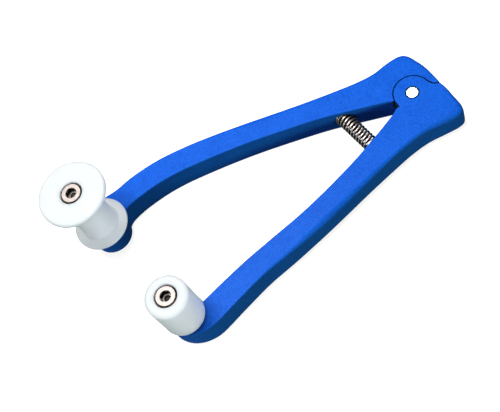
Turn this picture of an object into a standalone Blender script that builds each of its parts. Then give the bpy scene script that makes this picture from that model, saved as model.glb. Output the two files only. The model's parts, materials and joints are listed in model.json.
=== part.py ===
"""Seam roller for sheet-metal roofing: two curved arms, hinged at a head and sprung open, that
each carry a nylon roller on an upright axle near the end.

Lengths are in millimetres and turn into metres in the mesh and place functions. The plan is
drawn from the hinge axis. An arm has its own plan frame: u runs from the hinge to its roller,
and v outwards, away from the other arm. The arms' undersides lie at z = 0."""

import math
from dataclasses import dataclass

import bmesh
import bpy
from mathutils import Matrix, Vector

MM = 0.001
GAP = 0.3  # between the arms, where one turns past the other
SNUG = 0.1  # between pieces that are pressed, clamped or screwed together
SMALL_SEGMENTS = 20
ROLLER_SEGMENTS = 36
HINGE_SEGMENTS = 48

# Arms
ARM_THICKNESS = 17.4
HALF_SPREAD = 12.08  # degrees from the tool's middle line to each roller's axis, open
BOSS_RADIUS = 12.3
BOSS_SHIFT = 0.9  # the boss's middle, from the roller's axis towards the hinge
CRISP_EDGE = 0.3
INNER_EDGE = 0.8
OUTLINE_STEP = 6.0
EDGE_SEGMENTS = 2

# Hinge: the lower arm's two ears hold the upper arm's tongue between them
EAR_HEIGHT = 5.4
EAR_RADIUS = 11.3
JOINT_GAP = 0.6  # the line that shows between the ears and the upper arm
SOCKET_RADIUS = EAR_RADIUS + JOINT_GAP
TONGUE_CLEARANCE = 0.6  # above and below the tongue, where the washers are
SLOT_RADIUS = EAR_RADIUS + 3 * GAP
SHOULDER_RADIUS = 6.3
NOSE_RADIUS = SHOULDER_RADIUS - 0.7
SHOULDER_BEARING = 185.1  # from the hinge to the middle of the shoulder's hollow
SHOULDER_END = 80.0  # where the hollow ends at the head's end
PIN_RADIUS = 4.0
BUSH_RADIUS = 5.5
WASHER_RADIUS = 9.5

# Return spring, in the tool's plan
LOWER_SPRING_FOOT = Vector((36.4, 14.6, ARM_THICKNESS / 2))
UPPER_SPRING_FOOT = Vector((41.0, -18.5, ARM_THICKNESS / 2))
COIL_RADIUS = 4.35
WIRE_RADIUS = 0.7
COILS = 14
CLOSED_COILS = 1.0
POINTS_PER_COIL = 12
POCKET_RADIUS = 5.8
PEG_RADIUS = 2.9
PEG_DEPTH = 4.5
PEG_REACH = 6.0

# Roller axles, upwards from the arm's top face
PLAIN_RADIUS = 13.0
PLAIN_HEIGHT = 32.5
SPOOL_HEIGHT = 46.5
FLANGE_RADIUS = 20.8
FLANGE_HEIGHT = 3.4
FLANGE_EDGE = 1.5
BASE_FLANGE_RADIUS = 17.0
BASE_RIM_HEIGHT = 1.8
BASE_CONE_HEIGHT = 1.3  # from the base flange's rim up to the neck
NECK_RADIUS = 11.2
ROLLER_LIFT = 0.4
SCREW_RADIUS = 4.0
SCREW_HEAD_RADIUS = 6.5
SCREW_HEAD_HEIGHT = 8.0
HEX_SOCKET = 6.0  # across flats
HEX_NUT = 13.0  # across flats
NUT_HEIGHT = 6.5
NUT_COLLAR_HEIGHT = 1.5
NUT_ROOF = 8.2  # the nut pocket's roof, below the arm's top face
COUNTERBORE_RADIUS = 6.9
SLEEVE_RADIUS = 5.5
BUSH_WALL_RADIUS = COUNTERBORE_RADIUS - SNUG
BUSH_BORE_RADIUS = SLEEVE_RADIUS + SNUG
BASE_WASHER_HEIGHT = 1.6
HEAD_WASHER_HEIGHT = 1.2
BASE_BUSH_HEIGHT = 9.5
TOP_BUSH_HEIGHT = 10.0
BUSH_FLANGE_RADIUS = 9.3
BUSH_FLANGE_HEIGHT = 1.5


@dataclass
class ArmPlan:
    """One arm's outline. side is +1 on the tool's +Y side and -1 on its -Y side."""

    side: int
    reach: float
    disc_radius: float
    shoulder_radius: float
    hinge_corner: list  # (u, v) between the hinge disc and the inner edge
    inner: list  # (u, v) from the head to the boss
    outer: list  # (u, v, edge radius) from the boss round the head's corner to its end


LOWER_PLAN = ArmPlan(
    side=1,
    reach=188.65,
    disc_radius=EAR_RADIUS,
    shoulder_radius=SHOULDER_RADIUS,
    hinge_corner=[(12.2, 1.2), (13, 0.5)],
    inner=[(14.4, 0.2), (18, 1.4), (30, 2.9), (44, 4.5), (60, 5.6), (80, 6.1), (100, 5.7),
           (120, 4.1), (140, 2.6), (158, 2.1), (175.6, 2.1)],
    outer=[(175, 18.1, 0.6), (160, 17.5, 0.6), (140, 17.3, 1), (120, 19.1, 2), (100, 20.6, 3.5),
           (80, 21.2, 4), (60, 21.2, 3.5), (40, 21.5, 2.5), (26, 22.3, 2.5), (14, 24.4, 2.8),
           (4, 28.2, 3.5), (-5, 31.3, 3.5), (-10, 31.2, 3.5), (-12.7, 27.3, 3.5), (-14, 20, 2.5),
           (-15.1, 13, 1.5)],
)

UPPER_PLAN = ArmPlan(
    side=-1,
    reach=204.8,
    disc_radius=EAR_RADIUS,
    shoulder_radius=NOSE_RADIUS,
    hinge_corner=[(12.9, -0.3)],
    inner=[(14.9, 0.5), (26, 2.7), (36, 4.7), (50, 7.4), (62, 9.1), (80, 11), (100, 12.7),
           (120, 13.5), (140, 13.5), (152, 12.9), (164, 11.2), (178, 7.6), (188, 3.4), (191.6, 0)],
    outer=[(190, 19.4, 0.6), (178, 23.7, 0.6), (160, 27.5, 0.8), (140, 28.7, 1), (120, 28.6, 2),
           (100, 27.9, 3.5), (80, 26.4, 4), (60, 24.6, 3.5), (40, 23.1, 2.5), (26, 22.9, 2.5),
           (16, 24, 2.8), (7, 26.9, 3), (-2, 28.4, 3), (-7, 26.1, 3), (-10.6, 20.5, 3),
           (-13.6, 13.8, 2.5), (-15.7, 6, 1.5)],
)

# The outer edge's way round the end of both arms, (u, v) from the roller's axis
TIP = [(11.1, 2.6), (9.6, 6.5), (6.7, 10.7), (2.4, 14.3), (-2.6, 16.7), (-7.6, 17.9)]


# ---------------------------------------------------------------------------- plan curves


def polar(radius, degrees, centre=(0.0, 0.0)):
    angle = math.radians(degrees)
    return centre[0] + radius * math.cos(angle), centre[1] + radius * math.sin(angle)


def arc(radius, start, end, centre=(0.0, 0.0), step=9.0):
    """Points of an arc from start to end, in degrees, at most step apart."""
    count = max(1, math.ceil(abs(end - start) / step))
    return [polar(radius, start + (end - start) * i / count, centre) for i in range(count + 1)]


def smooth(points, step=OUTLINE_STEP):
    """Points of a Catmull-Rom curve through the given ones, whatever they hold besides u and v."""
    ends = [points[0], *points, points[-1]]
    curve = []
    for before, start, end, after in zip(ends, ends[1:], ends[2:], ends[3:]):
        count = max(2, math.ceil(math.dist(start[:2], end[:2]) / step))
        for i in range(count):
            t = i / count
            weights = (
                (-t + 2 * t**2 - t**3) / 2,
                (2 - 5 * t**2 + 3 * t**3) / 2,
                (t + 4 * t**2 - 3 * t**3) / 2,
                (t**3 - t**2) / 2,
            )
            knots = zip(before, start, end, after)
            curve.append(tuple(sum(w * k for w, k in zip(weights, knot)) for knot in knots))
    return [*curve, tuple(points[-1])]


def with_edge(points, radius):
    return [(u, v, radius) for u, v in points]


def arm_outline(plan):
    """(u, v, edge radius) round the arm, anticlockwise where v points left of u."""
    bearing = plan.side * SHOULDER_BEARING - HALF_SPREAD
    shoulder = polar(EAR_RADIUS + SHOULDER_RADIUS, bearing)
    shoulder_start = plan.side * SHOULDER_END - HALF_SPREAD
    shoulder_stop = bearing % 360 - 180
    boss = (plan.reach - BOSS_SHIFT, 0.0)
    boss_start = math.degrees(math.atan2(plan.inner[-1][1], plan.inner[-1][0] - boss[0])) % 360
    boss_stop = 360 + math.degrees(math.atan2(TIP[0][1], TIP[0][0] + BOSS_SHIFT))
    tip = with_edge([(plan.reach + u, v) for u, v in TIP], 2 * CRISP_EDGE)
    head_end = polar(plan.shoulder_radius, shoulder_start, shoulder)
    return [
        *with_edge(arc(plan.shoulder_radius, shoulder_start, shoulder_stop, shoulder), CRISP_EDGE),
        *with_edge(arc(plan.disc_radius, bearing % 360, 358.0), CRISP_EDGE),
        *with_edge(plan.hinge_corner, CRISP_EDGE),
        *with_edge(smooth(plan.inner), INNER_EDGE),
        *with_edge(arc(BOSS_RADIUS, boss_start, boss_stop, boss, 12.0)[1:-1], 2 * CRISP_EDGE),
        *smooth([*tip, *plan.outer, (*head_end, CRISP_EDGE)])[:-1],
    ]


def in_tool(plan, u, v):
    """A point of an arm's frame in the tool's plan, where +X is the middle line."""
    angle = math.radians(HALF_SPREAD)
    x = u * math.cos(angle) - v * math.sin(angle)
    y = u * math.sin(angle) + v * math.cos(angle)
    return x, plan.side * y


def hinge_place():
    """Where the hinge axis stands, for the middle of the whole tool's plan box to be the origin."""
    xs, ys = [], []
    for plan, radius in ((LOWER_PLAN, PLAIN_RADIUS), (UPPER_PLAN, FLANGE_RADIUS)):
        points = [in_tool(plan, u, v) for u, v, _ in arm_outline(plan)]
        axle = in_tool(plan, plan.reach, 0.0)
        points += [(axle[0] + dx, axle[1] + dy) for dx in (-radius, radius) for dy in (-radius, radius)]
        xs += [x for x, _ in points]
        ys += [y for _, y in points]
    return Vector((-(min(xs) + max(xs)) / 2, -(min(ys) + max(ys)) / 2, 0.0))


# ---------------------------------------------------------------------------- objects


def material(name, colour, roughness, metallic=0.0):
    made = bpy.data.materials.new(name)
    made.use_nodes = True
    shader = made.node_tree.nodes["Principled BSDF"]
    shader.inputs["Base Color"].default_value = (*colour, 1.0)
    shader.inputs["Roughness"].default_value = roughness
    shader.inputs["Metallic"].default_value = metallic
    return made


def place(obj, parent, at):
    obj.parent = parent
    obj.location = Vector(at) * MM
    bpy.context.collection.objects.link(obj)
    return obj


def empty(name, parent=None, at=(0.0, 0.0, 0.0), turn=0.0):
    obj = place(bpy.data.objects.new(name, None), parent, at)
    obj.rotation_euler.z = math.radians(turn)
    return obj


def mesh_object(name, bm, parent, finish=None, at=(0.0, 0.0, 0.0)):
    """An object from a bmesh in millimetres. With no finish it is a cutter, and isn't rendered."""
    bmesh.ops.remove_doubles(bm, verts=bm.verts, dist=1e-5)
    bmesh.ops.recalc_face_normals(bm, faces=bm.faces)
    bmesh.ops.scale(bm, vec=(MM, MM, MM), verts=bm.verts)
    mesh = bpy.data.meshes.new(name)
    bm.to_mesh(mesh)
    bm.free()
    mesh.shade_smooth()
    mesh.set_sharp_from_angle(angle=math.radians(35))
    obj = place(bpy.data.objects.new(name, mesh), parent, at)
    if finish:
        mesh.materials.append(finish)
    else:
        obj.hide_render = True
        obj.display_type = "WIRE"
    return obj


def boolean(obj, other, operation="DIFFERENCE"):
    modifier = obj.modifiers.new(other.name, "BOOLEAN")
    modifier.operation = operation
    modifier.object = other


def turned(name, profile, parent, finish=None, segments=SMALL_SEGMENTS):
    """A solid of revolution about the parent's Z, from a profile of (radius, z) that closes on
    itself or on the axis."""
    bm = bmesh.new()
    verts = [bm.verts.new((radius, 0.0, z)) for radius, z in profile]
    pairs = zip(verts, verts[1:] + verts[:1])
    edges = [bm.edges.new(pair) for pair in pairs if pair[0].co.x + pair[1].co.x > 0]
    bmesh.ops.spin(bm, geom=verts + edges, axis=(0, 0, 1), cent=(0, 0, 0),
                   angle=2 * math.pi, steps=segments, use_merge=True)
    return mesh_object(name, bm, parent, finish)


def ring(name, bore, radius, low, high, parent, finish):
    return turned(name, [(bore, low), (radius, low), (radius, high), (bore, high)], parent, finish)


def rod(name, radius, start, end, parent, finish=None, segments=SMALL_SEGMENTS, tip=0.0):
    """A round bar between two points, with its far end narrowed by tip."""
    start, end = Vector(start), Vector(end)
    bm = bmesh.new()
    bmesh.ops.create_cone(bm, cap_ends=True, segments=segments, radius1=radius, radius2=radius,
                          depth=(end - start).length)
    turn = (end - start).to_track_quat("Z", "X").to_matrix().to_4x4()
    bmesh.ops.transform(bm, matrix=Matrix.Translation((start + end) / 2) @ turn, verts=bm.verts)
    if tip:
        cap = max(bm.faces, key=lambda face: face.calc_center_median().dot(end - start))
        bmesh.ops.bevel(bm, geom=list(cap.edges), offset=tip, segments=1, affect="EDGES")
    return mesh_object(name, bm, parent, finish)


def prism(name, across_flats, low, high, parent, finish=None):
    """A hexagonal bar about the parent's Z."""
    return rod(name, across_flats / 2 / math.cos(math.pi / 6), (0, 0, low), (0, 0, high), parent,
               finish, segments=6)


def rounded_plate(name, outline, side, parent, finish):
    """The arm's outline as a plate whose long edges are rounded by each point's own radius."""
    corners = [Vector((u, v, 0.0)) for u, v, _ in outline]
    inward = []
    for i, corner in enumerate(corners):
        along_in = (corner - corners[i - 1]).normalized()
        along_out = (corners[(i + 1) % len(corners)] - corner).normalized()
        bisector = Vector((-along_in.y - along_out.y, along_in.x + along_out.x, 0.0)).normalized()
        cosine = bisector.dot(Vector((-along_in.y, along_in.x, 0.0)))
        inward.append(bisector / max(cosine, 0.7))
    angles = [math.pi / 2 * i / EDGE_SEGMENTS for i in range(EDGE_SEGMENTS + 1)]
    levels = [(angle, True) for angle in angles] + [(angle, False) for angle in reversed(angles)]
    bm = bmesh.new()
    rings = []
    for angle, upper in levels:
        row = []
        for corner, normal, (_, _, edge) in zip(corners, inward, outline):
            point = corner + normal * edge * (1 - math.sin(angle))
            drop = edge * (1 - math.cos(angle))
            point.z = ARM_THICKNESS - drop if upper else drop
            point.y *= side
            row.append(bm.verts.new(point))
        rings.append(row)
    for above, below in zip(rings, rings[1:]):
        for i in range(len(above)):
            bm.faces.new((above[i - 1], above[i], below[i], below[i - 1]))
    bm.faces.new(rings[0])
    bm.faces.new(rings[-1])
    return mesh_object(name, bm, parent, finish)


# ---------------------------------------------------------------------------- arms and hinge


def bore_for_axle(arm, axle):
    """The screw's clearance hole and the hexagonal pocket for its nut, in an arm's boss."""
    name = arm.name
    boolean(arm, rod(f"{name}_screw_hole", SCREW_RADIUS + 2 * SNUG, (0, 0, -30), (0, 0, 5), axle))
    boolean(arm, prism(f"{name}_nut_pocket", HEX_NUT + 4 * SNUG, -30, -NUT_ROOF, axle))


def bore_for_spring(arm, foot, towards, hinge):
    """A flat-floored pocket for the spring's end, with the hole for its peg."""
    direction = (towards - foot).normalized()
    boolean(arm, rod(f"{arm.name}_pocket", POCKET_RADIUS, foot, foot + direction * 12, hinge))
    boolean(arm, rod(f"{arm.name}_peg_hole", PEG_RADIUS + SNUG, foot - direction * (PEG_DEPTH + GAP),
                     foot + direction, hinge))


def lower_arm(frame, axle, hinge, finish):
    arm = rounded_plate("lower_arm", arm_outline(LOWER_PLAN), 1, frame, finish)
    slot = rod("lower_arm_slot", SLOT_RADIUS, (0, 0, EAR_HEIGHT),
               (0, 0, ARM_THICKNESS - EAR_HEIGHT), frame, segments=HINGE_SEGMENTS)
    boolean(arm, slot)
    boolean(arm, rod("lower_arm_pin_hole", PIN_RADIUS + GAP, (0, 0, -5),
                     (0, 0, ARM_THICKNESS + 5), frame))
    bore_for_axle(arm, axle)
    bore_for_spring(arm, LOWER_SPRING_FOOT, UPPER_SPRING_FOOT, hinge)
    return arm


def upper_arm(frame, axle, hinge, finish):
    arm = rounded_plate("upper_arm", arm_outline(UPPER_PLAN), -1, frame, finish)
    tongue_low = EAR_HEIGHT + TONGUE_CLEARANCE
    tongue_high = ARM_THICKNESS - tongue_low
    for name, low, high in (("base", -5, tongue_low), ("top", tongue_high, ARM_THICKNESS + 5)):
        boolean(arm, rod(f"upper_arm_{name}_socket", SOCKET_RADIUS, (0, 0, low), (0, 0, high),
                         frame, segments=HINGE_SEGMENTS))
    boolean(arm, rod("upper_arm_bush_hole", BUSH_RADIUS + SNUG, (0, 0, -5),
                     (0, 0, ARM_THICKNESS + 5), frame))
    bore_for_axle(arm, axle)
    bore_for_spring(arm, UPPER_SPRING_FOOT, LOWER_SPRING_FOOT, hinge)
    return arm


def hinge_pieces(lower_frame, upper_frame, steel, bronze):
    chamfer = 0.4
    low, high = 2 * SNUG, ARM_THICKNESS - SNUG
    turned("pivot_pin", [(0, low), (PIN_RADIUS - chamfer, low), (PIN_RADIUS, low + chamfer),
                         (PIN_RADIUS, high - chamfer), (PIN_RADIUS - chamfer, high), (0, high)],
           lower_frame, steel)
    tongue_low = EAR_HEIGHT + TONGUE_CLEARANCE
    tongue_high = ARM_THICKNESS - tongue_low
    ring("pivot_bush", PIN_RADIUS + SNUG, BUSH_RADIUS, tongue_low, tongue_high, upper_frame, bronze)
    for name, floor in (("base_pivot_washer", EAR_HEIGHT), ("top_pivot_washer", tongue_high)):
        ring(name, PIN_RADIUS + 2 * SNUG, WASHER_RADIUS, floor + SNUG,
             floor + TONGUE_CLEARANCE - SNUG, lower_frame, steel)


def coil_height(turn, length):
    """How far along the spring a turn has got: the end coils lie flat, and the rest share out."""
    flat = 2 * WIRE_RADIUS
    span = length - flat * (1 + 2 * CLOSED_COILS)
    free = (turn - CLOSED_COILS) / (COILS - 2 * CLOSED_COILS)
    if free < 0:
        return WIRE_RADIUS + flat * turn
    if free > 1:
        return length - WIRE_RADIUS - flat * (COILS - turn)
    return WIRE_RADIUS + flat * CLOSED_COILS + span * free


def return_spring(hinge, finish):
    axis = UPPER_SPRING_FOOT - LOWER_SPRING_FOOT
    length = axis.length - 2 * SNUG
    curve = bpy.data.curves.new("return_spring", "CURVE")
    curve.dimensions = "3D"
    curve.bevel_depth = WIRE_RADIUS * MM
    curve.bevel_resolution = 1
    curve.use_fill_caps = True
    count = COILS * POINTS_PER_COIL + 1
    spline = curve.splines.new("POLY")
    spline.points.add(count - 1)
    for i, point in enumerate(spline.points):
        turn = i / POINTS_PER_COIL
        u, v = polar(COIL_RADIUS, 360 * turn)
        point.co = (*(Vector((u, v, SNUG + coil_height(turn, length))) * MM), 1.0)
    curve.materials.append(finish)
    obj = place(bpy.data.objects.new("return_spring", curve), hinge, LOWER_SPRING_FOOT)
    obj.rotation_mode = "QUATERNION"
    obj.rotation_quaternion = axis.to_track_quat("Z", "X")


def spring_peg(name, foot, towards, parent, finish):
    direction = (towards - foot).normalized()
    rod(name, PEG_RADIUS, foot - direction * PEG_DEPTH, foot + direction * PEG_REACH, parent,
        finish, tip=0.8)


# ---------------------------------------------------------------------------- rollers


def bored(outside, height):
    """A roller's profile: its outside, upwards, and then its bores from the top down."""
    top_seat = height - SCREW_HEAD_HEIGHT - HEAD_WASHER_HEIGHT - 6 * SNUG - TOP_BUSH_HEIGHT
    base_seat = BASE_WASHER_HEIGHT + BASE_BUSH_HEIGHT + 5 * SNUG
    flange_seat = BASE_WASHER_HEIGHT + BUSH_FLANGE_HEIGHT + 5 * SNUG
    clear_radius = SLEEVE_RADIUS + 2 * GAP
    return [
        *outside,
        (COUNTERBORE_RADIUS + 0.4, height),
        (COUNTERBORE_RADIUS, height - 0.4),
        (COUNTERBORE_RADIUS, top_seat),
        (clear_radius, top_seat),
        (clear_radius, base_seat),
        (COUNTERBORE_RADIUS, base_seat),
        (COUNTERBORE_RADIUS, flange_seat),
        (BUSH_FLANGE_RADIUS + GAP, flange_seat),
        (BUSH_FLANGE_RADIUS + GAP, ROLLER_LIFT),
    ]


def plain_outside():
    edge, chamfer = 2.5, 0.4
    return [
        (PLAIN_RADIUS - chamfer, ROLLER_LIFT),
        (PLAIN_RADIUS, ROLLER_LIFT + chamfer),
        *arc(edge, 0, 90, (PLAIN_RADIUS - edge, PLAIN_HEIGHT - edge), 30.0),
    ]


def spool_outside():
    fillet, chamfer = 2.0, 0.5
    rim_top = ROLLER_LIFT + BASE_RIM_HEIGHT
    cone_top = rim_top + BASE_CONE_HEIGHT
    flange_low = SPOOL_HEIGHT - FLANGE_HEIGHT
    return [
        (BASE_FLANGE_RADIUS - chamfer, ROLLER_LIFT),
        (BASE_FLANGE_RADIUS, ROLLER_LIFT + chamfer),
        (BASE_FLANGE_RADIUS, rim_top - chamfer),
        (BASE_FLANGE_RADIUS - chamfer, rim_top),
        *arc(fillet, 270, 180, (NECK_RADIUS + fillet, cone_top + fillet), 30.0),
        *arc(fillet, 180, 90, (NECK_RADIUS + fillet, flange_low - fillet), 30.0),
        (FLANGE_RADIUS - chamfer, flange_low),
        (FLANGE_RADIUS, flange_low + chamfer),
        *arc(FLANGE_EDGE, 0, 90, (FLANGE_RADIUS - FLANGE_EDGE, SPOOL_HEIGHT - FLANGE_EDGE), 30.0),
    ]


def base_bush(name, parent, finish):
    low = BASE_WASHER_HEIGHT + 3 * SNUG
    turned(name, [
        (BUSH_BORE_RADIUS, low),
        (BUSH_FLANGE_RADIUS, low),
        (BUSH_FLANGE_RADIUS, low + BUSH_FLANGE_HEIGHT),
        (BUSH_WALL_RADIUS, low + BUSH_FLANGE_HEIGHT),
        (BUSH_WALL_RADIUS, low + BASE_BUSH_HEIGHT),
        (BUSH_BORE_RADIUS, low + BASE_BUSH_HEIGHT),
    ], parent, finish)


def cap_screw(name, height, parent, finish):
    """Socket head screw, from the roller's face down into the nut."""
    head_top = height - 3 * SNUG
    head_base = head_top - SCREW_HEAD_HEIGHT
    end = -NUT_ROOF - NUT_HEIGHT - NUT_COLLAR_HEIGHT + 0.5
    chamfer = 0.8
    screw = turned(name, [
        (0, end),
        (SCREW_RADIUS - chamfer, end),
        (SCREW_RADIUS, end + chamfer),
        (SCREW_RADIUS, head_base),
        (SCREW_HEAD_RADIUS, head_base),
        (SCREW_HEAD_RADIUS, head_top - chamfer),
        (SCREW_HEAD_RADIUS - chamfer, head_top),
        (0, head_top),
    ], parent, finish)
    boolean(screw, prism(f"{name}_hex", HEX_SOCKET, head_top - SCREW_HEAD_HEIGHT / 2,
                         head_top + 5, parent))


def lock_nut(name, parent, finish):
    """Hexagon nut with a locking collar below it."""
    top = -NUT_ROOF - SNUG
    low = top - NUT_HEIGHT
    nut = prism(name, HEX_NUT, low, top, parent, finish)
    collar = turned(f"{name}_collar", [
        (0, low - NUT_COLLAR_HEIGHT),
        (HEX_NUT / 2 - 1.2, low - NUT_COLLAR_HEIGHT),
        (HEX_NUT / 2 - 0.5, low),
        (HEX_NUT / 2 - 0.5, low + 1),
        (0, low + 1),
    ], parent)
    boolean(nut, collar, "UNION")
    boolean(nut, rod(f"{name}_thread", SCREW_RADIUS + SNUG, (0, 0, -30), (0, 0, 0), parent))


def roller_set(prefix, outside, height, axle, spin, finishes):
    """A roller with its bearings on spin, and the stack that holds it on the arm's axle."""
    nylon, steel, bronze = finishes
    turned(f"{prefix}_roller", bored(outside, height), spin, nylon, ROLLER_SEGMENTS)
    base_bush(f"{prefix}_base_bush", spin, bronze)
    head_base = height - 3 * SNUG - SCREW_HEAD_HEIGHT
    washer_low = head_base - SNUG - HEAD_WASHER_HEIGHT
    bush_top = washer_low - 2 * SNUG
    ring(f"{prefix}_top_bush", BUSH_BORE_RADIUS, BUSH_WALL_RADIUS, bush_top - TOP_BUSH_HEIGHT + SNUG,
         bush_top, spin, bronze)
    bore = SCREW_RADIUS + 2 * SNUG
    ring(f"{prefix}_base_washer", bore, BUSH_FLANGE_RADIUS - 0.6, SNUG, BASE_WASHER_HEIGHT + SNUG,
         axle, steel)
    ring(f"{prefix}_sleeve", bore, SLEEVE_RADIUS, BASE_WASHER_HEIGHT + 2 * SNUG,
         washer_low - SNUG, axle, steel)
    ring(f"{prefix}_head_washer", bore, SCREW_HEAD_RADIUS + SNUG, washer_low,
         washer_low + HEAD_WASHER_HEIGHT, axle, steel)
    cap_screw(f"{prefix}_screw", height, axle, steel)
    lock_nut(f"{prefix}_lock_nut", axle, steel)


# ---------------------------------------------------------------------------- the tool


def build():
    for obj in list(bpy.data.objects):
        bpy.data.objects.remove(obj)
    blue = material("blue_paint", (0.03, 0.12, 0.78), 0.4)
    nylon = material("white_nylon", (0.80, 0.83, 0.84), 0.45)
    steel = material("bright_steel", (0.62, 0.61, 0.58), 0.3, 1.0)
    dark_steel = material("spring_steel", (0.11, 0.09, 0.08), 0.35, 1.0)
    bronze = material("bearing_bronze", (0.55, 0.36, 0.18), 0.4, 1.0)
    finishes = (nylon, steel, bronze)

    hinge = empty("hinge", at=hinge_place())
    lower_frame = empty("lower_arm_frame", hinge, turn=HALF_SPREAD)
    upper_hinge = empty("upper_arm_hinge", hinge)
    upper_frame = empty("upper_arm_frame", upper_hinge, turn=-HALF_SPREAD)
    plain_axle = empty("plain_axle", lower_frame, (LOWER_PLAN.reach, 0, ARM_THICKNESS))
    flanged_axle = empty("flanged_axle", upper_frame, (UPPER_PLAN.reach, 0, ARM_THICKNESS))
    plain_spin = empty("plain_spin", plain_axle)
    flanged_spin = empty("flanged_spin", flanged_axle)

    lower_arm(lower_frame, plain_axle, hinge, blue)
    upper_arm(upper_frame, flanged_axle, upper_hinge, blue)
    hinge_pieces(lower_frame, upper_frame, steel, bronze)
    return_spring(hinge, dark_steel)
    spring_peg("lower_spring_peg", LOWER_SPRING_FOOT, UPPER_SPRING_FOOT, hinge, steel)
    spring_peg("upper_spring_peg", UPPER_SPRING_FOOT, LOWER_SPRING_FOOT, upper_hinge, steel)
    roller_set("plain", plain_outside(), PLAIN_HEIGHT, plain_axle, plain_spin, finishes)
    roller_set("flanged", spool_outside(), SPOOL_HEIGHT, flanged_axle, flanged_spin, finishes)


build()
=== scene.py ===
"""The looks of the seam roller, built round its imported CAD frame.

The pieces are made in millimetres, in the plan frame of the arm or the axle they belong to, and a
matrix then puts them in their place in the frame, in metres. An arm's plan frame has u running
from the hinge to its roller and v outwards, away from the other arm."""

import json
import math
from dataclasses import dataclass

import bmesh
import bpy
from mathutils import Matrix, Vector


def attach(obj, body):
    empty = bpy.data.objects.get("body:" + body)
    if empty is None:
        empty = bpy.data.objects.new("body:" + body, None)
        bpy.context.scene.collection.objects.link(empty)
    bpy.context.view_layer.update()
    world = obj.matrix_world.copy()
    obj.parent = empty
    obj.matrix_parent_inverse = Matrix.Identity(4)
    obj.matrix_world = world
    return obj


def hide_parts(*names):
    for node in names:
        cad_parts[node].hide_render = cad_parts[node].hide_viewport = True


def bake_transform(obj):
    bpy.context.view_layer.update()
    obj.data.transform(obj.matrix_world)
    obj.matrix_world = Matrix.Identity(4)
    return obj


MM = 0.001
SNUG = 0.1  # between pieces that are pressed, clamped or screwed together
GAP = 0.3  # between pieces that pass each other freely
BROKEN_EDGE = 0.2  # the small chamfer on a machined edge
OVERSHOOT = 5.0  # how far a cutter passes the face that it opens

# Fineness
ARC_STEP = 4.0  # degrees
OUTLINE_STEP = 2.0  # along an arm's long curves
EDGE_STEP = 15.0  # degrees, round a small edge
FILLET_STEP = 7.5  # degrees, round a wide edge or a fillet
EDGE_SEGMENTS = 6
ROUND_SEGMENTS = 96
SHARP_ANGLE = 32.0  # degrees
LEAST_COSINE = 0.7  # keeps the mitre of a sharp corner short

# Arms
ARM_THICKNESS = 17.4
BOSS_RADIUS = 12.3
BOSS_SHIFT = 0.9  # the boss's middle, from the roller's axis towards the hinge
CRISP_EDGE = 0.3
INNER_EDGE = 0.8

# Hinge
EAR_HEIGHT = 5.4
EAR_RADIUS = 11.3
SOCKET_RADIUS = 11.9
TONGUE_CLEARANCE = 0.6
SLOT_RADIUS = 12.2
SHOULDER_RADIUS = 6.3
NOSE_RADIUS = 5.6
SHOULDER_BEARING = 185.1  # degrees, from the hinge to the middle of the shoulder's hollow
SHOULDER_END = 80.0  # degrees, where the hollow ends at the head's end
PIN_RADIUS = 4.0
BUSH_RADIUS = 5.5

# Return spring
LOWER_SPRING_FOOT = Vector((36.4, 14.6, ARM_THICKNESS / 2))
UPPER_SPRING_FOOT = Vector((41.0, -18.5, ARM_THICKNESS / 2))
COIL_RADIUS = 4.35
WIRE_RADIUS = 0.7
COILS = 14
CLOSED_COILS = 1.0
INSIDE_SHIFT = 0.42  # from the coil's radius out to where the painted shade on its inside ends
POINTS_PER_COIL = 36
POCKET_RADIUS = 5.8
PEG_RADIUS = 2.9
PEG_DEPTH = 4.5

# Rollers and the stack on each axle
PLAIN_RADIUS = 13.0
PLAIN_HEIGHT = 32.5
SPOOL_HEIGHT = 46.5
FLANGE_RADIUS = 20.8
FLANGE_HEIGHT = 3.4
FLANGE_EDGE = 1.5
BASE_FLANGE_RADIUS = 17.0
BASE_RIM_HEIGHT = 1.8
BASE_CONE_HEIGHT = 1.3  # from the base flange's rim up to the neck
NECK_RADIUS = 11.2
ROLLER_LIFT = 0.4
SCREW_RADIUS = 4.0
SCREW_HEAD_RADIUS = 6.5
SCREW_HEAD_HEIGHT = 8.0
SCREW_RIM = 0.8
HEX_SOCKET = 6.0
HEX_NUT = 13.0
NUT_HEIGHT = 6.5
NUT_COLLAR_HEIGHT = 1.5
NUT_ROOF = 8.2
COUNTERBORE_RADIUS = 6.9
SLEEVE_RADIUS = 5.5
BASE_WASHER_HEIGHT = 1.6
HEAD_WASHER_HEIGHT = 1.2
BASE_BUSH_HEIGHT = 9.5
TOP_BUSH_HEIGHT = 10.0
BUSH_FLANGE_RADIUS = 9.3
BUSH_FLANGE_HEIGHT = 1.5

# Camera, in metres
CAMERA_PLACE = Vector((0.01978, 0.29968, 0.54135))
CAMERA_TARGET = Vector((0.01674, 0.00781, 0.0174))
CAMERA_ROLL = -32.96  # degrees
CAMERA_LENS = 72.7

# Stage
FLOOR_HALF = 3000.0
LOWER_SKY = (0.15, 0.20, 0.15)
UPPER_SKY = (0.11, 0.12, 0.12)


@dataclass
class ArmPlan:
    """One arm's outline. side is +1 on the tool's +Y side and -1 on its -Y side."""

    side: int
    shoulder_radius: float
    hinge_corner: list  # (u, v) between the hinge disc and the inner edge
    inner: list  # (u, v) from the head to the boss
    outer: list  # (u, v, edge radius) from the boss round the head's corner to its end
    reach: float = 0.0
    half_spread: float = 0.0  # degrees from the middle line to u


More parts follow.
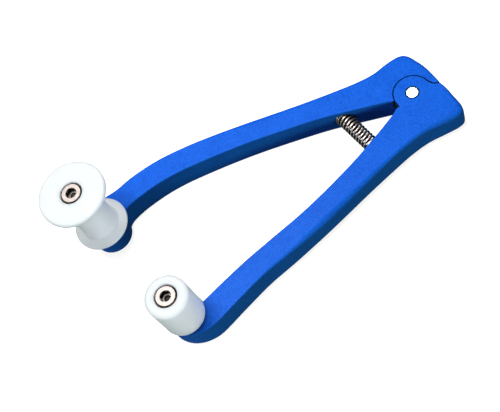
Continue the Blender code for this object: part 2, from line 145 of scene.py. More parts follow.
LOWER_PLAN = ArmPlan(
    side=1,
    shoulder_radius=SHOULDER_RADIUS,
    hinge_corner=[(12.2, 1.2), (13, 0.5)],
    inner=[(14.4, 0.2), (18, 1.4), (30, 2.9), (44, 4.5), (60, 5.6), (80, 6.1), (100, 5.7),
           (120, 4.1), (140, 2.6), (158, 2.1), (175.6, 2.1)],
    outer=[(175, 18.1, 0.6), (160, 17.5, 0.6), (140, 17.3, 1), (120, 19.1, 2), (100, 20.6, 3.5),
           (80, 21.2, 4), (60, 21.2, 3.5), (40, 21.5, 2.5), (26, 22.3, 2.5), (14, 24.4, 2.8),
           (4, 28.2, 3.5), (-5, 31.3, 3.5), (-10, 31.2, 3.5), (-12.7, 27.3, 3.5), (-14, 20, 2.5),
           (-15.1, 13, 1.5)],
)

UPPER_PLAN = ArmPlan(
    side=-1,
    shoulder_radius=NOSE_RADIUS,
    hinge_corner=[(12.9, -0.3)],
    inner=[(14.9, 0.5), (26, 2.7), (36, 4.7), (50, 7.4), (62, 9.1), (80, 11), (100, 12.7),
           (120, 13.5), (140, 13.5), (152, 12.9), (164, 11.2), (178, 7.6), (188, 3.4), (191.6, 0)],
    outer=[(190, 19.4, 0.6), (178, 23.7, 0.6), (160, 27.5, 0.8), (140, 28.7, 1), (120, 28.6, 2),
           (100, 27.9, 3.5), (80, 26.4, 4), (60, 24.6, 3.5), (40, 23.1, 2.5), (26, 22.9, 2.5),
           (16, 24, 2.8), (7, 26.9, 3), (-2, 28.4, 3), (-7, 26.1, 3), (-10.6, 20.5, 3),
           (-13.6, 13.8, 2.5), (-15.7, 6, 1.5)],
)

# The outer edge's way round the end of both arms, (u, v) from the roller's axis
TIP = [(11.1, 2.6), (9.6, 6.5), (6.7, 10.7), (2.4, 14.3), (-2.6, 16.7), (-7.6, 17.9)]


# ---------------------------------------------------------------------------- plan curves


def polar(radius, degrees, centre=(0.0, 0.0)):
    angle = math.radians(degrees)
    return centre[0] + radius * math.cos(angle), centre[1] + radius * math.sin(angle)


def arc(radius, start, end, centre=(0.0, 0.0), step=ARC_STEP):
    """Points of an arc from start to end, in degrees, at most step apart."""
    count = max(1, math.ceil(abs(end - start) / step))
    return [polar(radius, start + (end - start) * i / count, centre) for i in range(count + 1)]


def smooth(points):
    """Points of a Catmull-Rom curve through the given ones, whatever they hold besides u and v."""
    ends = [points[0], *points, points[-1]]
    curve = []
    for before, start, end, after in zip(ends, ends[1:], ends[2:], ends[3:]):
        count = max(2, math.ceil(math.dist(start[:2], end[:2]) / OUTLINE_STEP))
        for i in range(count):
            t = i / count
            weights = (
                (-t + 2 * t**2 - t**3) / 2,
                (2 - 5 * t**2 + 3 * t**3) / 2,
                (t + 4 * t**2 - 3 * t**3) / 2,
                (t**3 - t**2) / 2,
            )
            knots = zip(before, start, end, after)
            curve.append(tuple(sum(w * k for w, k in zip(weights, knot)) for knot in knots))
    return [*curve, tuple(points[-1])]


def with_edge(points, radius):
    return [(u, v, radius) for u, v in points]


def shoulder_bearing(plan):
    return plan.side * SHOULDER_BEARING - plan.half_spread


def shoulder_middle(plan):
    return polar(EAR_RADIUS + SHOULDER_RADIUS, shoulder_bearing(plan))


def arm_outline(plan):
    """(u, v, edge radius) round the arm, anticlockwise where v points left of u."""
    bearing = shoulder_bearing(plan)
    shoulder = shoulder_middle(plan)
    shoulder_start = plan.side * SHOULDER_END - plan.half_spread
    shoulder_stop = bearing % 360 - 180
    boss = (plan.reach - BOSS_SHIFT, 0.0)
    boss_start = math.degrees(math.atan2(plan.inner[-1][1], plan.inner[-1][0] - boss[0])) % 360
    boss_stop = 360 + math.degrees(math.atan2(TIP[0][1], TIP[0][0] + BOSS_SHIFT))
    tip = with_edge([(plan.reach + u, v) for u, v in TIP], 2 * CRISP_EDGE)
    head_end = polar(plan.shoulder_radius, shoulder_start, shoulder)
    return [
        *with_edge(arc(plan.shoulder_radius, shoulder_start, shoulder_stop, shoulder), CRISP_EDGE),
        *with_edge(arc(EAR_RADIUS, bearing % 360, 358.0), CRISP_EDGE),
        *with_edge(plan.hinge_corner, CRISP_EDGE),
        *with_edge(smooth(plan.inner), INNER_EDGE),
        *with_edge(arc(BOSS_RADIUS, boss_start, boss_stop, boss)[1:-1], 2 * CRISP_EDGE),
        *smooth([*tip, *plan.outer, (*head_end, CRISP_EDGE)])[:-1],
    ]


# ---------------------------------------------------------------------------- materials


def new_material(name, colour, roughness, metallic=0.0, **sockets):
    made = bpy.data.materials.new(name)
    made.use_nodes = True
    shader = made.node_tree.nodes["Principled BSDF"]
    shader.inputs["Base Color"].default_value = (*colour, 1.0)
    shader.inputs["Roughness"].default_value = roughness
    shader.inputs["Metallic"].default_value = metallic
    for socket, value in sockets.items():
        shader.inputs[socket.replace("_", " ")].default_value = value
    return made


def add(made, kind, inputs, **settings):
    """A new node of the material, each input set to a value or linked to another node's output."""
    node = made.node_tree.nodes.new(kind)
    for key, value in settings.items():
        setattr(node, key, value)
    for socket, value in inputs.items():
        if isinstance(value, bpy.types.NodeSocket):
            made.node_tree.links.new(value, node.inputs[socket])
        else:
            node.inputs[socket].default_value = value
    return node


def drive(made, socket, value):
    shader = made.node_tree.nodes["Principled BSDF"]
    made.node_tree.links.new(value, shader.inputs[socket])


def place_from(made, centre):
    """The surface point measured from centre, in metres."""
    point = add(made, "ShaderNodeTexCoord", {}).outputs["Object"]
    return add(made, "ShaderNodeVectorMath", {0: point, 1: centre},
               operation="SUBTRACT").outputs["Vector"]


def noise(made, feature, detail=3.0, roughness=0.55, point=None):
    """Noise with features of the given size, in millimetres."""
    point = point or add(made, "ShaderNodeTexCoord", {}).outputs["Object"]
    inputs = {"Vector": point, "Scale": 1 / (feature * MM), "Detail": detail,
              "Roughness": roughness}
    return add(made, "ShaderNodeTexNoise", inputs).outputs["Fac"]


def ramp(made, factor, stops):
    """Colours over a factor, from (position, colour) stops."""
    node = add(made, "ShaderNodeValToRGB", {"Fac": factor})
    elements = node.color_ramp.elements
    for element, (position, colour) in zip(elements, stops):
        element.position = position
        element.color = (*colour, 1.0)
    return node.outputs["Color"]


def spread(made, factor, low, high, start=0.3, stop=0.7):
    """A factor between start and stop turned into a value from low to high."""
    inputs = {"Value": factor, "From Min": start, "From Max": stop, "To Min": low, "To Max": high}
    return add(made, "ShaderNodeMapRange", inputs).outputs["Result"]


def bump(made, height, depth, strength=1.0, normal=None):
    """A bump of the given depth in millimetres, on top of another one if it is given."""
    inputs = {"Height": height, "Distance": depth * MM, "Strength": strength}
    if normal:
        inputs["Normal"] = normal
    return add(made, "ShaderNodeBump", inputs).outputs["Normal"]


def lathe_marks(made, centre, pitch):
    """Fine rings about a vertical axis, as a turning tool leaves on a face. At a scale of 1 the
    rings would be a tenth of pi apart."""
    inputs = {"Vector": place_from(made, centre), "Scale": 0.1 * math.pi / (pitch * MM),
              "Distortion": 1.5, "Detail": 1.0, "Detail Scale": 0.6}
    return add(made, "ShaderNodeTexWave", inputs, wave_type="RINGS",
               rings_direction="Z").outputs["Fac"]


def blue_paint():
    made = new_material("blue_paint", (0.002, 0.043, 0.265), 0.42, Specular_IOR_Level=0.02)
    clouds = add(made, "ShaderNodeMath", {0: noise(made, 12.0), 1: 0.3, 2: noise(made, 0.9)},
                 operation="MULTIPLY_ADD")
    drive(made, "Base Color", ramp(made, spread(made, clouds.outputs["Value"], 0.0, 1.0, 0.45, 0.85),
                                   [(0.0, (0.001, 0.032, 0.215)), (1.0, (0.003, 0.054, 0.315))]))
    drive(made, "Roughness", spread(made, noise(made, 3.0), 0.36, 0.48))
    peel = bump(made, noise(made, 1.1, detail=1.0), 0.08, 0.7)
    drive(made, "Normal", bump(made, noise(made, 0.35, detail=2.0), 0.03, 0.7, peel))
    return made


def white_nylon(name, centre):
    made = new_material(name, (0.92, 0.95, 0.95), 0.38, Subsurface_Weight=1.0,
                        Subsurface_Radius=(1.0, 1.0, 1.0), Subsurface_Scale=0.006)
    cloud = noise(made, 8.0)
    drive(made, "Base Color", ramp(made, cloud, [(0.3, (0.91, 0.94, 0.945)),
                                                 (0.7, (0.93, 0.955, 0.96))]))
    drive(made, "Roughness", spread(made, noise(made, 2.0), 0.33, 0.45))
    rings = bump(made, lathe_marks(made, centre, 0.3), 0.004, 0.6)
    drive(made, "Normal", bump(made, noise(made, 0.6, detail=2.0), 0.012, 0.4, rings))
    return made


def turned_steel(name, colour, roughness, centre, pitch=0.25):
    made = new_material(name, colour, roughness, 1.0)
    tint = [(0.3, tuple(0.92 * c for c in colour)), (0.7, colour)]
    drive(made, "Base Color", ramp(made, noise(made, 1.2), tint))
    drive(made, "Roughness", spread(made, noise(made, 0.8), roughness - 0.06, roughness + 0.08))
    rings = bump(made, lathe_marks(made, centre, pitch), 0.006, 0.5)
    drive(made, "Normal", bump(made, noise(made, 0.25), 0.006, 0.4, rings))
    return made


def grained_metal(name, colour, dark, roughness, feature, depth):
    """Metal with a cloudy tint and a grain: spring steel, zinc plate or sintered bronze."""
    made = new_material(name, colour, roughness, 1.0)
    drive(made, "Base Color", ramp(made, noise(made, feature), [(0.35, dark), (0.65, colour)]))
    drive(made, "Roughness",
          spread(made, noise(made, 2 * feature), roughness - 0.07, roughness + 0.1))
    drive(made, "Normal", bump(made, noise(made, feature / 2), depth, 0.5))
    return made


# ---------------------------------------------------------------------------- meshes


def solid(name, bm):
    """An object from a closed bmesh in millimetres, still in its own frame."""
    bmesh.ops.remove_doubles(bm, verts=bm.verts, dist=1e-4)
    bmesh.ops.recalc_face_normals(bm, faces=bm.faces)
    mesh = bpy.data.meshes.new(name)
    bm.to_mesh(mesh)
    bm.free()
    obj = bpy.data.objects.new(name, mesh)
    bpy.context.collection.objects.link(obj)
    return obj


def cut(obj, others, operation="DIFFERENCE"):
    """Cuts the others from obj, or joins them to it, and removes them."""
    for other in others:
        modifier = obj.modifiers.new(other.name, "BOOLEAN")
        modifier.operation = operation
        modifier.object = other
    graph = bpy.context.evaluated_depsgraph_get()
    mesh = bpy.data.meshes.new_from_object(obj.evaluated_get(graph))
    obj.modifiers.clear()
    obj.data = mesh
    for other in others:
        bpy.data.objects.remove(other)
    return obj


def dress(obj, matrix, finish, body, nodes):
    """Puts a finished solid in its place, and hands it to the frame."""
    mesh = obj.data
    mesh.transform(matrix)
    mesh.shade_smooth()
    mesh.set_sharp_from_angle(angle=math.radians(SHARP_ANGLE))
    mesh.materials.clear()
    mesh.materials.append(finish)
    normals = obj.modifiers.new("normals", "WEIGHTED_NORMAL")
    normals.keep_sharp = True
    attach(obj, body)
    if nodes:
        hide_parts(*nodes)
    return obj


def paint_shade(obj, faces, name):
    """Gives some faces of a piece, by their index, a dull black: painted shade that stands in for
    the dark of a gap, seam or hollow.
    """
    black = grained_metal(name, (0.03, 0.025, 0.022), (0.015, 0.013, 0.012), 0.55, 0.9, 0.02)
    obj.data.materials.append(black)
    for index in faces:
        obj.data.polygons[index].material_index = 1


def turned(name, profile, segments=ROUND_SEGMENTS):
    """A solid of revolution about Z, from a profile of (radius, z) that closes on itself or on
    the axis."""
    bm = bmesh.new()
    verts = [bm.verts.new((radius, 0.0, z)) for radius, z in profile]
    pairs = zip(verts, verts[1:] + verts[:1])
    edges = [bm.edges.new(pair) for pair in pairs if pair[0].co.x + pair[1].co.x > 0]
    bmesh.ops.spin(bm, geom=verts + edges, axis=(0, 0, 1), cent=(0, 0, 0),
                   angle=2 * math.pi, steps=segments, use_merge=True)
    return solid(name, bm)


def rod(name, radius, start, end, segments=ROUND_SEGMENTS):
    """A round bar between two points, or a prism if it has few segments."""
    start, end = Vector(start), Vector(end)
    bm = bmesh.new()
    bmesh.ops.create_cone(bm, cap_ends=True, segments=segments, radius1=radius, radius2=radius,
                          depth=(end - start).length)
    turn = (end - start).to_track_quat("Z", "X").to_matrix().to_4x4()
    bmesh.ops.transform(bm, matrix=Matrix.Translation((start + end) / 2) @ turn, verts=bm.verts)
    return solid(name, bm)


def prism(name, across_flats, low, high):
    """A hexagonal bar about Z."""
    corner = across_flats / 2 / math.cos(math.pi / 6)
    return rod(name, corner, (0, 0, low), (0, 0, high), segments=6)


def chamfered_bore(name, radius, chamfer, low, high):
    """A cutter for a hole right through from low to high, with both its mouths chamfered."""
    wide = radius + 2 * chamfer
    return turned(name, [
        (0, low - chamfer), (wide, low - chamfer), (radius, low + chamfer),
        (radius, high - chamfer), (wide, high + chamfer), (0, high + chamfer),
    ])


def mitres(corners):
    """For each corner of an outline, the move inwards that shifts both its edges by 1."""
    moves = []
    for i, corner in enumerate(corners):
        along_in = (corner - corners[i - 1]).normalized()
        along_out = (corners[(i + 1) % len(corners)] - corner).normalized()
        bisector = Vector((-along_in.y - along_out.y, along_in.x + along_out.x, 0.0)).normalized()
        cosine = bisector.dot(Vector((-along_in.y, along_in.x, 0.0)))
        moves.append(bisector / max(cosine, LEAST_COSINE))
    return moves


def rounded_plate(name, outline, side):
    """The arm's outline as a plate whose long edges are rounded by each point's own radius."""
    corners = [Vector((u, v, 0.0)) for u, v, _ in outline]
    inward = mitres(corners)
    angles = [math.pi / 2 * i / EDGE_SEGMENTS for i in range(EDGE_SEGMENTS + 1)]
    levels = [(angle, True) for angle in angles] + [(angle, False) for angle in reversed(angles)]
    bm = bmesh.new()
    rings = []
    for angle, upper in levels:
        row = []
        for corner, normal, (_, _, edge) in zip(corners, inward, outline):
            point = corner + normal * edge * (1 - math.sin(angle))
            drop = edge * (1 - math.cos(angle))
            point.z = ARM_THICKNESS - drop if upper else drop
            point.y *= side
            row.append(bm.verts.new(point))
        rings.append(row)
    for above, below in zip(rings, rings[1:]):
        for i in range(len(above)):
            bm.faces.new((above[i - 1], above[i], below[i], below[i - 1]))
    bm.faces.new(rings[0])
    bm.faces.new(rings[-1])
    return solid(name, bm)


# ---------------------------------------------------------------------------- frame places


def joint_place(name):
    """A joint's place in plan, in metres, at the height of the arms' undersides."""
    joint = next(joint for joint in frame["joints"] if joint["name"] == name)
    return Vector((joint["pos_m"][0], joint["pos_m"][1], 0.0))


def in_millimetres(place, turn=0.0, lift=0.0):
    """The matrix from a frame in millimetres, turned about Z and lifted, to the CAD frame."""
    return (Matrix.Translation(place + Vector((0, 0, lift * MM)))
            @ Matrix.Rotation(turn, 4, "Z") @ Matrix.Scale(MM, 4))


def bearing_to(start, end):
    return math.atan2(end.y - start.y, end.x - start.x)


# ---------------------------------------------------------------------------- arms and hinge


def axle_cutters(plan):
    """The screw's clearance hole and the hexagonal pocket for its nut."""
    move = Matrix.Translation((plan.reach, 0, 0))
    cutters = [
        chamfered_bore("screw_hole", SCREW_RADIUS + 2 * SNUG, BROKEN_EDGE, 0, ARM_THICKNESS),
        prism("nut_pocket", HEX_NUT + 4 * SNUG, -OVERSHOOT, ARM_THICKNESS - NUT_ROOF),
    ]
    for cutter in cutters:
        cutter.data.transform(move)
    return cutters


def spring_cutters(foot, towards, into_plan):
    """A flat-floored pocket for the spring's end, with the hole for its peg."""
    direction = (towards - foot).normalized()
    cutters = [
        rod("pocket", POCKET_RADIUS, foot, foot + direction * 2 * POCKET_RADIUS),
        rod("peg_hole", PEG_RADIUS + SNUG, foot - direction * (PEG_DEPTH + GAP), foot + direction),
    ]
    for cutter in cutters:
        cutter.data.transform(into_plan)
    return cutters


def hinge_walls(arm, plan):
    """The arm's upright faces round the pin and along the shoulder, in the hinge's narrow seams,
    which get a dull black as painted shade.
    """
    middle = shoulder_middle(plan)
    shoulder = Vector((middle[0], plan.side * middle[1]))
    walls = []
    for face in arm.data.polygons:
        place = face.center.xy
        by_pin = place.length < SOCKET_RADIUS + SNUG
        by_shoulder = abs((place - shoulder).length - plan.shoulder_radius) < SNUG
        upright = abs(face.normal.z) < 0.5
        if upright and (by_pin or by_shoulder):
            walls.append(face.index)
    return walls


def lower_arm(plan, matrix, hinge_matrix, paint):
    arm = rounded_plate("lower_arm_body", arm_outline(plan), plan.side)
    slot_low, slot_high = EAR_HEIGHT, ARM_THICKNESS - EAR_HEIGHT
    cut(arm, [
        rod("slot", SLOT_RADIUS, (0, 0, slot_low), (0, 0, slot_high)),
        chamfered_bore("pin_hole", PIN_RADIUS + GAP, BROKEN_EDGE, 0, ARM_THICKNESS),
        *axle_cutters(plan),
        *spring_cutters(LOWER_SPRING_FOOT, UPPER_SPRING_FOOT, matrix.inverted() @ hinge_matrix),
    ])
    # The seam walls by the pin and the shoulder get a dull black: painted shade for the dark of the
    # deep seam.
    shaded_walls = hinge_walls(arm, plan)
    dress(arm, matrix, paint, "lower_arm", ["lower_arm"])
    paint_shade(arm, shaded_walls, "lower_hinge_painted_shade")


def socket_cutter(name, mouth, floor, out):
    """The round recess that an ear turns in, with its mouth's edge broken. out is +1 upwards."""
    flare = out * BROKEN_EDGE
    return turned(name, [
        (0, floor),
        (SOCKET_RADIUS, floor),
        (SOCKET_RADIUS, mouth - flare),
        (SOCKET_RADIUS + 2 * BROKEN_EDGE, mouth + flare),
        (0, mouth + flare),
    ])


def upper_arm(plan, matrix, hinge_matrix, paint):
    arm = rounded_plate("upper_arm_body", arm_outline(plan), plan.side)
    tongue_low = EAR_HEIGHT + TONGUE_CLEARANCE
    tongue_high = ARM_THICKNESS - tongue_low
    cut(arm, [
        socket_cutter("base_socket", 0, tongue_low, -1),
        socket_cutter("top_socket", ARM_THICKNESS, tongue_high, 1),
        rod("bush_hole", BUSH_RADIUS + SNUG, (0, 0, -OVERSHOOT),
            (0, 0, ARM_THICKNESS + OVERSHOOT)),
        *axle_cutters(plan),
        *spring_cutters(UPPER_SPRING_FOOT, LOWER_SPRING_FOOT, matrix.inverted() @ hinge_matrix),
    ])
    # The seam walls by the pin and the shoulder get a dull black: painted shade for the dark of the
    # deep seam.
    shaded_walls = hinge_walls(arm, plan)
    dress(arm, matrix, paint, "upper_arm", ["upper_arm"])
    paint_shade(arm, shaded_walls, "upper_hinge_painted_shade")


def pivot_pin(matrix, hinge):
    low, high, edge = 2 * SNUG, ARM_THICKNESS - SNUG, 0.5
    pin = turned("pivot_pin_bar", [
        (0, low),
        *arc(edge, -90, 0, (PIN_RADIUS - edge, low + edge), EDGE_STEP),
        *arc(edge, 0, 90, (PIN_RADIUS - edge, high - edge), EDGE_STEP),
        (0, high),
    ])
    # The pin's rounded top edge gets a dull black: painted shade for the dark gap round the pin.
    black = [face.index for face in pin.data.polygons
             if face.center.xy.length > PIN_RADIUS - edge and abs(face.center.z - high) < edge]
    steel = turned_steel("pin_steel", (0.62, 0.70, 0.70), 0.36, hinge)
    dress(pin, matrix, steel, "lower_arm", ["pivot_pin"])
    paint_shade(pin, black, "pin_edge_painted_shade")


def coil_height(turn, length):
    """How far along the spring a turn has got: the end coils lie flat, and the rest share out."""
    flat = 2 * WIRE_RADIUS
    span = length - flat * (1 + 2 * CLOSED_COILS)
    free = (turn - CLOSED_COILS) / (COILS - 2 * CLOSED_COILS)
    if free < 0:
        return WIRE_RADIUS + flat * turn
    if free > 1:
        return length - WIRE_RADIUS - flat * (COILS - turn)
    return WIRE_RADIUS + flat * CLOSED_COILS + span * free


def coiled_wire(name, length):
    """The spring's wire, coiled about Z, from just above 0."""
    curve = bpy.data.curves.new("coil", "CURVE")
    curve.dimensions = "3D"
    curve.bevel_depth = WIRE_RADIUS
    curve.bevel_resolution = 5
    curve.use_fill_caps = True
    spline = curve.splines.new("POLY")
    spline.points.add(COILS * POINTS_PER_COIL)
    for i, point in enumerate(spline.points):
        turn = i / POINTS_PER_COIL
        u, v = polar(COIL_RADIUS, 360 * turn)
        point.co = (u, v, SNUG + coil_height(turn, length), 1.0)
    wire = bpy.data.objects.new("coil", curve)
    bpy.context.collection.objects.link(wire)
    graph = bpy.context.evaluated_depsgraph_get()
    mesh = bpy.data.meshes.new_from_object(wire.evaluated_get(graph))
    bpy.data.objects.remove(wire)
    obj = bpy.data.objects.new(name, mesh)
    bpy.context.collection.objects.link(obj)
    return obj


def return_spring(hinge_matrix):
    axis = UPPER_SPRING_FOOT - LOWER_SPRING_FOOT
    spring = coiled_wire("return_spring_coil", axis.length - 2 * SNUG)
    # The coil's inside gets a dull black: painted shade, so that the gaps between the near turns
    # look dark.
    inside = [face.index for face in spring.data.polygons
              if face.center.xy.length < COIL_RADIUS + INSIDE_SHIFT]
    turn = axis.to_track_quat("Z", "X").to_matrix().to_4x4()
    spring.data.transform(hinge_matrix @ Matrix.Translation(LOWER_SPRING_FOOT) @ turn)
    spring.data.shade_smooth()
    spring.data.materials.append(
        grained_metal("spring_steel", (0.44, 0.38, 0.355), (0.26, 0.22, 0.20), 0.38, 0.8, 0.01))
    paint_shade(spring, inside, "spring_inside_painted_shade")
    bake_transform(spring)
    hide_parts("return_spring")


# ---------------------------------------------------------------------------- rollers


def bored(outside, height):
    """A roller's profile: its outside, upwards, and then its bores from the top down."""
    top_seat = height - SCREW_HEAD_HEIGHT - HEAD_WASHER_HEIGHT - 6 * SNUG - TOP_BUSH_HEIGHT
    base_seat = BASE_WASHER_HEIGHT + BASE_BUSH_HEIGHT + 5 * SNUG
    flange_seat = BASE_WASHER_HEIGHT + BUSH_FLANGE_HEIGHT + 5 * SNUG
    clear_radius = SLEEVE_RADIUS + 2 * GAP
    mouth = 0.4
    return [
        *outside,
        *arc(mouth, 90, 180, (COUNTERBORE_RADIUS + mouth, height - mouth), EDGE_STEP),
        (COUNTERBORE_RADIUS, top_seat),
        (clear_radius, top_seat),
        (clear_radius, base_seat),
        (COUNTERBORE_RADIUS, base_seat),
        (COUNTERBORE_RADIUS, flange_seat),
        (BUSH_FLANGE_RADIUS + GAP, flange_seat),
        (BUSH_FLANGE_RADIUS + GAP, ROLLER_LIFT),
    ]


def plain_outside():
    edge, base_edge = 2.5, 0.4
    return [
        *arc(base_edge, 270, 360, (PLAIN_RADIUS - base_edge, ROLLER_LIFT + base_edge), EDGE_STEP),
        *arc(edge, 0, 90, (PLAIN_RADIUS - edge, PLAIN_HEIGHT - edge), FILLET_STEP),
    ]


def spool_outside():
    fillet, edge = 2.0, 0.5
    rim_top = ROLLER_LIFT + BASE_RIM_HEIGHT
    cone_top = rim_top + BASE_CONE_HEIGHT
    flange_low = SPOOL_HEIGHT - FLANGE_HEIGHT
    top_edge = (FLANGE_RADIUS - FLANGE_EDGE, SPOOL_HEIGHT - FLANGE_EDGE)
    return [
        *arc(edge, 270, 360, (BASE_FLANGE_RADIUS - edge, ROLLER_LIFT + edge), EDGE_STEP),
        *arc(edge, 0, 70, (BASE_FLANGE_RADIUS - edge, rim_top - edge), EDGE_STEP),
        *arc(fillet, 270, 180, (NECK_RADIUS + fillet, cone_top + fillet), FILLET_STEP),
        *arc(fillet, 180, 90, (NECK_RADIUS + fillet, flange_low - fillet), FILLET_STEP),
        *arc(edge, 270, 360, (FLANGE_RADIUS - edge, flange_low + edge), EDGE_STEP),
        *arc(FLANGE_EDGE, 0, 90, top_edge, FILLET_STEP),
    ]


def hexagon_cutters(head_top):
    """The hexagon in a screw's head: its walls, its chamfered mouth and its drilled floor."""
    floor_height = head_top - SCREW_HEAD_HEIGHT / 2
    socket = prism("hex", HEX_SOCKET, floor_height, head_top + OVERSHOOT)
    chamfer = 0.35
    mouth_radius = HEX_SOCKET / 2 / math.cos(math.pi / 6) - 0.05
    mouth = turned("hex_mouth", [
        (0, head_top - chamfer),
        (mouth_radius - chamfer, head_top - chamfer),
        (mouth_radius + chamfer, head_top + chamfer),
        (0, head_top + chamfer),
    ])
    drill, clear = 2.1, 0.2
    drill_point = turned("drill_point", [
        (0, floor_height - drill),
        (drill + clear, floor_height + clear),
        (0, floor_height + clear),
    ])
    return [socket, mouth, drill_point]


def cap_screw(name, height):
    """Socket head screw, from the roller's face down into the nut."""
    head_top = height - 3 * SNUG
    head_base = head_top - SCREW_HEAD_HEIGHT
    end = -NUT_ROOF - NUT_HEIGHT - NUT_COLLAR_HEIGHT + 0.5
    point = 0.6
    screw = turned(name, [
        (0, end),
        (SCREW_RADIUS - point, end),
        (SCREW_RADIUS, end + point),
        (SCREW_RADIUS, head_base),
        (SCREW_HEAD_RADIUS - BROKEN_EDGE, head_base),
        (SCREW_HEAD_RADIUS, head_base + BROKEN_EDGE),
        *arc(SCREW_RIM, 0, 90, (SCREW_HEAD_RADIUS - SCREW_RIM, head_top - SCREW_RIM), EDGE_STEP),
        (0, head_top),
    ])
    return cut(screw, hexagon_cutters(head_top))


def dark_faces(screw, height):
    """The faces of a screw's head that get a dull black as painted shade: its rim and side, for the
    dark gap round the head, and its hexagon's walls, for the dark of the socket.
    """
    faces = []
    socket_reach = HEX_SOCKET / 2 + 0.6
    for face in screw.data.polygons:
        radius = face.center.xy.length
        rim = radius > SCREW_HEAD_RADIUS - SCREW_RIM
        steep = abs(face.normal.z) < 0.8
        hexagon = radius < socket_reach and steep
        if face.center.z > height - SCREW_HEAD_HEIGHT and (rim or hexagon):
            faces.append(face.index)
    return faces


def lock_nut(name):
    """Hexagon nut with chamfered corners and a rounded collar below it."""
    top = -NUT_ROOF - SNUG
    low = top - NUT_HEIGHT
    corner = HEX_NUT / 2 / math.cos(math.pi / 6)
    nut = prism(name, HEX_NUT, low, top)
    flat, outside, bevel = HEX_NUT / 2 - BROKEN_EDGE, corner + SNUG, 0.7
    bevelled = turned("bevelled", [
        (0, low),
        (flat, low),
        (outside, low + bevel),
        (outside, top - bevel),
        (flat, top),
        (0, top),
    ])
    cut(nut, [bevelled], "INTERSECT")
    collar_radius = HEX_NUT / 2 - 0.5
    collar_low = low - NUT_COLLAR_HEIGHT
    edge, overlap = 1.1, 1.0
    collar = turned("collar", [
        (0, collar_low),
        *arc(edge, 270, 360, (collar_radius - edge, collar_low + edge), EDGE_STEP),
        (collar_radius, low + overlap),
        (0, low + overlap),
    ])
    cut(nut, [collar], "UNION")
    thread = rod("thread", SCREW_RADIUS + SNUG, (0, 0, low - OVERSHOOT), (0, 0, top + OVERSHOOT))
    return cut(nut, [thread])


def roller(name, body, outside, height, axle, matrix):
    nylon = white_nylon(f"{name}_nylon", axle)
    made = turned(f"{name}_turned", bored(outside, height), 2 * ROUND_SEGMENTS)
    return dress(made, matrix, nylon, body, [name])


def axle_stack(prefix, body, height, axle, matrix):
    """The screw and nut that hold a roller, on the arm."""
    screw = cap_screw(f"{prefix}_cap_screw", height)
    # The head's rim, side and hexagon walls get a dull black: painted shade for the gap round the
    # head and the socket's hollow.
    black = dark_faces(screw, height)
    faced = turned_steel(f"{prefix}_screw_steel", (0.18, 0.157, 0.148), 0.55, axle, 0.2)
    dress(screw, matrix, faced, body, [f"{prefix}_screw"])
    paint_shade(screw, black, f"{prefix}_screw_painted_shade")
    zinc = grained_metal(f"{prefix}_nut_zinc", (0.66, 0.68, 0.70), (0.52, 0.54, 0.57), 0.38, 1.0,
                         0.01)
    dress(lock_nut(f"{prefix}_hex_nut"), matrix, zinc, body, [f"{prefix}_lock_nut"])


def carried_over():
    """Materials for the CAD pieces that stay as they are."""
    steel = grained_metal("washer_steel", (0.60, 0.60, 0.59), (0.48, 0.48, 0.47), 0.34, 1.0, 0.008)
    bronze = grained_metal("bush_bronze", (0.60, 0.40, 0.20), (0.42, 0.27, 0.13), 0.42, 0.35, 0.02)
    for name, obj in frame["nodes"].items():
        obj.data.materials.clear()
        obj.data.materials.append(bronze if "bush" in name else steel)


# ---------------------------------------------------------------------------- stage


def floor():
    """A pale sheet that is bright by itself too, so that the shadows on it stay faint."""
    made = new_material("floor", (0.3, 0.3, 0.3), 0.9, Emission_Strength=0.8)
    made.node_tree.nodes["Principled BSDF"].inputs["Emission Color"].default_value = (1, 1, 1, 1)
    bm = bmesh.new()
    bmesh.ops.create_grid(bm, size=FLOOR_HALF)
    plane = solid("floor", bm)
    plane.data.transform(Matrix.Scale(MM, 4))
    plane.data.materials.append(made)
    plane.visible_diffuse = False
    plane.visible_glossy = False


def area_light(name, place, target, size, power, colour=(1.0, 1.0, 1.0)):
    """A rectangular light that faces target."""
    light = bpy.data.lights.new(name, "AREA")
    light.shape = "RECTANGLE"
    light.size, light.size_y = size
    light.energy = power
    light.color = colour
    obj = bpy.data.objects.new(name, light)
    obj.location = place
    direction = Vector(target) - Vector(place)
    obj.rotation_euler = direction.to_track_quat("-Z", "Y").to_euler()
    bpy.context.collection.objects.link(obj)
    return obj


def link_light(light, pieces, state):
    """Limits a light to the pieces, with state INCLUDE, or keeps it off them, with EXCLUDE."""
    group = bpy.data.collections.new(f"{light.name}_receivers")
    for piece in pieces:
        group.objects.link(piece)
    for member in group.collection_objects:
        member.light_linking.link_state = state
    light.light_linking.receiver_collection = group


def sky():
    """A dim, even sky, a little greener below the horizon."""
    world = bpy.data.worlds.new("studio")
    world.use_nodes = True
    background = world.node_tree.nodes["Background"]
    direction = add(world, "ShaderNodeTexCoord", {}).outputs["Generated"]
    height = add(world, "ShaderNodeSeparateXYZ", {"Vector": direction}).outputs["Z"]
    colour = ramp(world, spread(world, height, 0.0, 1.0, -0.05, 0.05),
                  [(0.0, LOWER_SKY), (1.0, UPPER_SKY)])
    world.node_tree.links.new(colour, background.inputs["Color"])
    bpy.context.scene.world = world


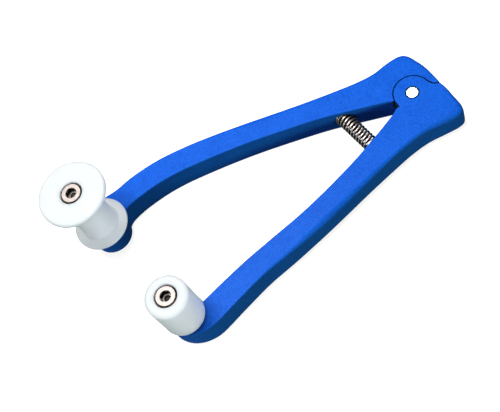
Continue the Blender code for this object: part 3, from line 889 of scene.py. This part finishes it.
def lights(pale):
    """The studio's lights. The pale pieces, the rollers, have softer ones of their own."""
    for light in (
        area_light("key", (0.08, -0.2, 0.78), (0, 0, 0), (0.5, 0.5), 20.5),
        area_light("fill", (0.05, 0.8, 0.17), (0, 0, 0.02), (0.8, 0.1), 6.6, (1.0, 1.0, 0.55)),
        area_light("side", (0.8, 0.12, 0.22), (0.05, 0, 0.01), (0.5, 0.15), 3.0),
    ):
        link_light(light, pale, "EXCLUDE")
    for light in (
        area_light("pale_key", (0.05, -0.3, 0.75), (0, 0, 0), (0.6, 0.6), 5.2, (0.97, 1.0, 1.0)),
        area_light("pale_left", (0.5, 0.5, 0.3), (0, 0, 0.02), (0.6, 0.3), 2.6, (0.85, 0.92, 1.0)),
        area_light("pale_right", (-0.5, 0.5, 0.3), (0, 0, 0.02), (0.6, 0.3), 3.5, (0.85, 0.92, 1.0)),
    ):
        link_light(light, pale, "INCLUDE")


def camera():
    bpy.context.scene.view_settings.view_transform = "Standard"
    data = bpy.data.cameras.new("camera")
    data.lens = CAMERA_LENS
    data.clip_start = 0.01
    obj = bpy.data.objects.new("camera", data)
    bpy.context.collection.objects.link(obj)
    look = (CAMERA_TARGET - CAMERA_PLACE).to_track_quat("-Z", "Y").to_matrix().to_4x4()
    roll = Matrix.Rotation(math.radians(CAMERA_ROLL), 4, "Z")
    obj.matrix_world = Matrix.Translation(CAMERA_PLACE) @ look @ roll
    bpy.context.scene.camera = obj


with open("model.json") as file:
    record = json.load(file)
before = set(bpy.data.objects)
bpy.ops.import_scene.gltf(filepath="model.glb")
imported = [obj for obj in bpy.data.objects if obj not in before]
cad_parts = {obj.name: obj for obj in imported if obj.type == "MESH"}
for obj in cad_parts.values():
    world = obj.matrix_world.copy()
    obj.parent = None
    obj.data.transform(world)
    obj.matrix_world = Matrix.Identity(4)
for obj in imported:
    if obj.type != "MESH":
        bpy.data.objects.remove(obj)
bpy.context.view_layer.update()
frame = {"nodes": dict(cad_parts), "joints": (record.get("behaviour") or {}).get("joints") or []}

hinge_at = joint_place("arm_squeeze")
plain_at = joint_place("plain_roller_spin")
flanged_at = joint_place("flanged_roller_spin")
for arm_plan, axle_at in ((LOWER_PLAN, plain_at), (UPPER_PLAN, flanged_at)):
    arm_plan.reach = (axle_at - hinge_at).length / MM
    arm_plan.half_spread = abs(math.degrees(bearing_to(hinge_at, axle_at)))

hinge_frame = in_millimetres(hinge_at)
lower_frame = in_millimetres(hinge_at, bearing_to(hinge_at, plain_at))
upper_frame = in_millimetres(hinge_at, bearing_to(hinge_at, flanged_at))
plain_frame = in_millimetres(plain_at, lift=ARM_THICKNESS)
flanged_frame = in_millimetres(flanged_at, lift=ARM_THICKNESS)

arm_paint = blue_paint()
lower_arm(LOWER_PLAN, lower_frame, hinge_frame, arm_paint)
upper_arm(UPPER_PLAN, upper_frame, hinge_frame, arm_paint)
pivot_pin(lower_frame, hinge_at)
return_spring(hinge_frame)
rollers = [
    roller("plain_roller", "plain_roller", plain_outside(), PLAIN_HEIGHT, plain_at, plain_frame),
    roller("flanged_roller", "flanged_roller", spool_outside(), SPOOL_HEIGHT, flanged_at,
           flanged_frame),
]
axle_stack("plain", "lower_arm", PLAIN_HEIGHT, plain_at, plain_frame)
axle_stack("flanged", "upper_arm", SPOOL_HEIGHT, flanged_at, flanged_frame)
carried_over()

floor()
sky()
lights(rollers)
camera()
